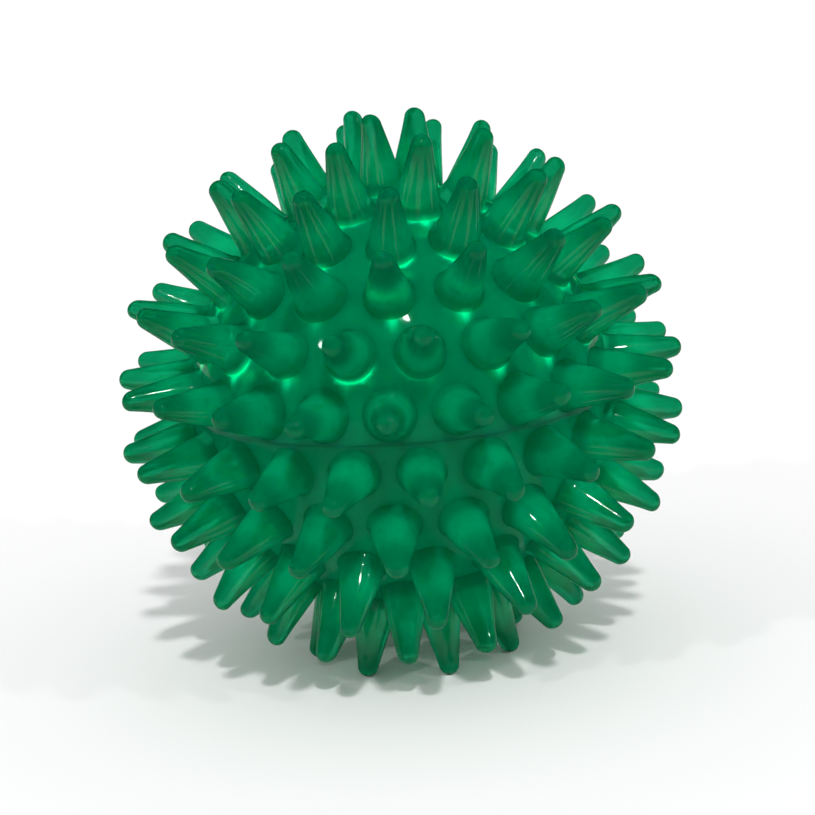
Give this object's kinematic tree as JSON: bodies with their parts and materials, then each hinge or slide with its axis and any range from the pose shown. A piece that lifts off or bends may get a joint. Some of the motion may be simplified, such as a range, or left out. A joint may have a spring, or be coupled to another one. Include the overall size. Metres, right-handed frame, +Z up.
{
  "type": "massage ball",
  "caption": "Air-filled soft massage ball covered in tapering, round-tipped spikes set in rings, with a rubber valve and a pull-out plug at its lower pole.",
  "frame": {"origin": "point on the supporting surface straight below the ball's centre; the ball stands on its lowest ring of spikes", "axes": "+Z up along the ball's moulding axis, away from the valve; the rings of spikes lie round Z"},
  "size_m": [0.0892, 0.0891, 0.0862],
  "materials": {
    "shell": "glossy translucent soft PVC, deep green",
    "grommet": "satin green rubber",
    "plug": "satin moulded green plastic"
  },
  "bodies": {
    "ball": {"upper_half_shell": "shell", "lower_half_shell": "shell", "valve_grommet": "grommet"},
    "plug": {"valve_plug": "plug"}
  },
  "joints": [
    {"name": "plug_pull", "type": "slide", "parent": "ball", "child": "plug", "axis": [0, 0, -1], "range_m": [0, 0.0075]}
  ]
}
